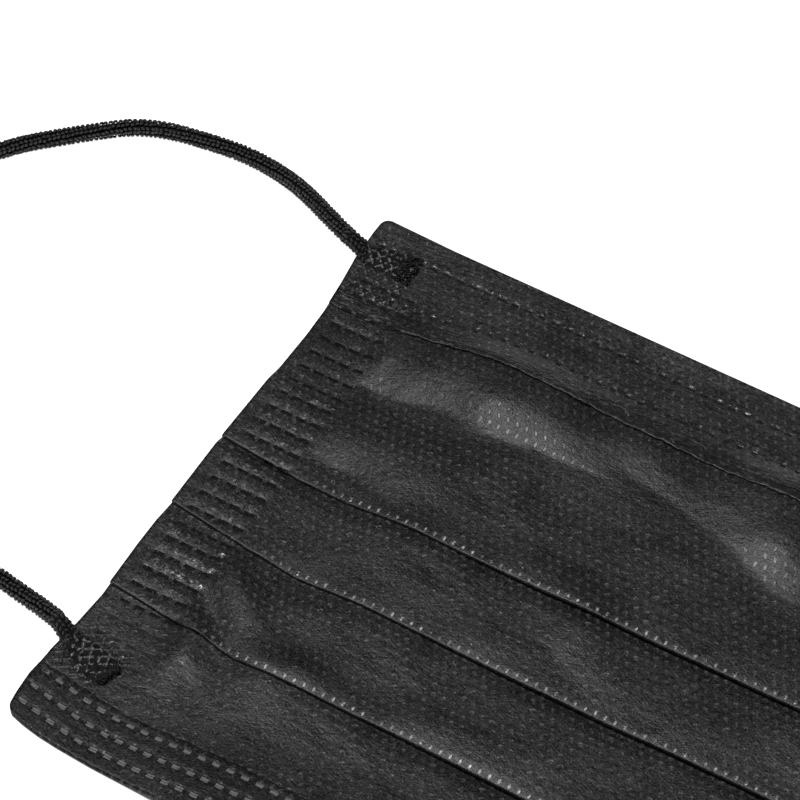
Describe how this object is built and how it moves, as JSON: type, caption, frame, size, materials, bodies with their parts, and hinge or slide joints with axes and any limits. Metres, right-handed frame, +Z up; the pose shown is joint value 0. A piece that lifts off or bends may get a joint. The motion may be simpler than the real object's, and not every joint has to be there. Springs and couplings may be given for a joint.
{
  "type": "surgical mask",
  "caption": "Pleated disposable face mask lying flat, with folded nose and chin hems, welded side bands and round elastic ear loops laid out beside it.",
  "frame": {"origin": "on the surface that the mask lies on, under the middle of the mask without its loops", "axes": "+X along the nose edge, +Y from the chin edge to the nose edge, +Z up through the outer face"},
  "size_m": [0.298, 0.0967, 0.0057],
  "materials": {
    "mask_cloth": "black point-bonded nonwoven cloth, faintly glossy on its bond points",
    "welded_cord": "black elastic cord, melted flat with a small grid imprint",
    "elastic_cord": "black knitted elastic cord, matt"
  },
  "bodies": {
    "root": {"pleated_body": "mask_cloth", "nose_hem": "mask_cloth", "chin_hem": "mask_cloth", "cord_end_nose_left": "welded_cord", "cord_end_chin_left": "welded_cord", "cord_end_nose_right": "welded_cord", "cord_end_chin_right": "welded_cord", "ear_loop_left": "elastic_cord", "ear_loop_right": "elastic_cord"}
  },
  "joints": []
}
